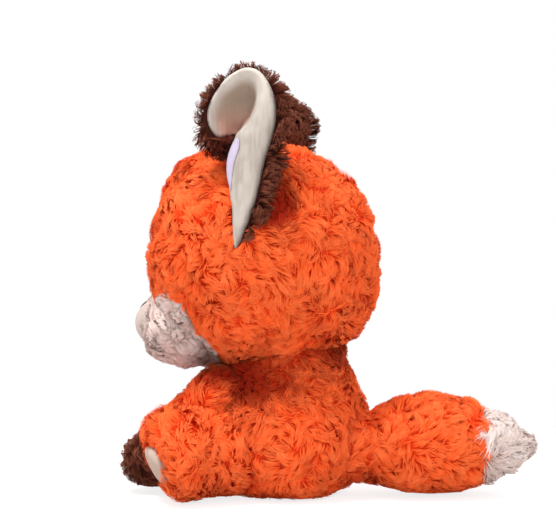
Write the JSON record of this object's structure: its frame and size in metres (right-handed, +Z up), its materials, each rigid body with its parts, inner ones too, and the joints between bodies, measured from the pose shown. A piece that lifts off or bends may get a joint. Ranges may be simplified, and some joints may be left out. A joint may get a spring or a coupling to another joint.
{
  "type": "plush fox",
  "caption": "Seated plush fox with long orange fur, cupped ears lined in cream, a cream muzzle, sole pads and tail tip, and brown paws; its head, ears, limbs and tail move.",
  "frame": {"origin": "on the floor under the middle of the torso, on the seat panel", "axes": "+Z up, -Y the way the fox faces, +X its left side"},
  "size_m": [0.1542, 0.2514, 0.263],
  "materials": {
    "orange_fur": "long curly polyester pile",
    "brown_fur": "long curly polyester pile",
    "cream_fur": "long curly polyester pile",
    "cream_plush": "smooth short pile",
    "seat_fabric": "short pile",
    "inner_cotton": "plain cotton",
    "tag_fabric": "smooth satin weave",
    "black_plastic": "polished",
    "washer_plastic": "matte"
  },
  "bodies": {
    "torso": {"torso": "orange_fur", "base_panel": "seat_fabric", "bean_bag": "inner_cotton"},
    "head": {"head": "orange_fur", "muzzle_fur": "cream_fur", "snout": "cream_plush", "nose": "black_plastic", "nose_washer": "washer_plastic", "eye_left": "black_plastic", "eye_right": "black_plastic", "eye_washer_left": "washer_plastic", "eye_washer_right": "washer_plastic", "ear_root_left": "brown_fur", "ear_root_right": "brown_fur", "ear_root_lining_left": "cream_plush", "ear_root_lining_right": "cream_plush", "ear_tag": "tag_fabric"},
    "ear_left": {"ear_flap_left": "brown_fur", "ear_flap_lining_left": "cream_plush"},
    "ear_right": {"ear_flap_right": "brown_fur", "ear_flap_lining_right": "cream_plush"},
    "arm_left": {"arm_left": "orange_fur", "paw_left": "brown_fur"},
    "arm_right": {"arm_right": "orange_fur", "paw_right": "brown_fur"},
    "leg_left": {"leg_left": "orange_fur", "sole_pad_left": "cream_plush"},
    "leg_right": {"leg_right": "orange_fur", "sole_pad_right": "cream_plush"},
    "tail": {"tail": "orange_fur", "tail_tip": "cream_fur"}
  },
  "joints": [
    {"name": "head_turn", "type": "hinge", "parent": "torso", "child": "head", "pos_m": [0, -0.014, 0.152], "axis": [0, 0, 1], "range_deg": [-25, 25], "stiffness_Nm_per_rad": 0.3},
    {"name": "ear_left_flop", "type": "hinge", "parent": "head", "child": "ear_left", "pos_m": [0.0605, 0, 0.213], "axis": [0, 1, 0], "range_deg": [-15, 20], "stiffness_Nm_per_rad": 0.04},
    {"name": "ear_right_flop", "type": "hinge", "parent": "head", "child": "ear_right", "pos_m": [-0.0605, 0, 0.213], "axis": [0, -1, 0], "range_deg": [-15, 20], "stiffness_Nm_per_rad": 0.04},
    {"name": "arm_left_lift", "type": "hinge", "parent": "torso", "child": "arm_left", "pos_m": [0.031, -0.036, 0.064], "axis": [-1, 0, 0], "range_deg": [0, 25]},
    {"name": "arm_right_lift", "type": "hinge", "parent": "torso", "child": "arm_right", "pos_m": [-0.031, -0.036, 0.064], "axis": [-1, 0, 0], "range_deg": [0, 25]},
    {"name": "leg_left_splay", "type": "hinge", "parent": "torso", "child": "leg_left", "pos_m": [0.033, -0.03, 0.0265], "axis": [0, 0, 1], "range_deg": [0, 18], "stiffness_Nm_per_rad": 0.1},
    {"name": "leg_right_splay", "type": "hinge", "parent": "torso", "child": "leg_right", "pos_m": [-0.033, -0.03, 0.0265], "axis": [0, 0, -1], "range_deg": [0, 18], "stiffness_Nm_per_rad": 0.1},
    {"name": "tail_wag", "type": "hinge", "parent": "torso", "child": "tail", "pos_m": [0, 0.048, 0.0285], "axis": [0, 0, 1], "range_deg": [-45, 5], "stiffness_Nm_per_rad": 0.1}
  ]
}
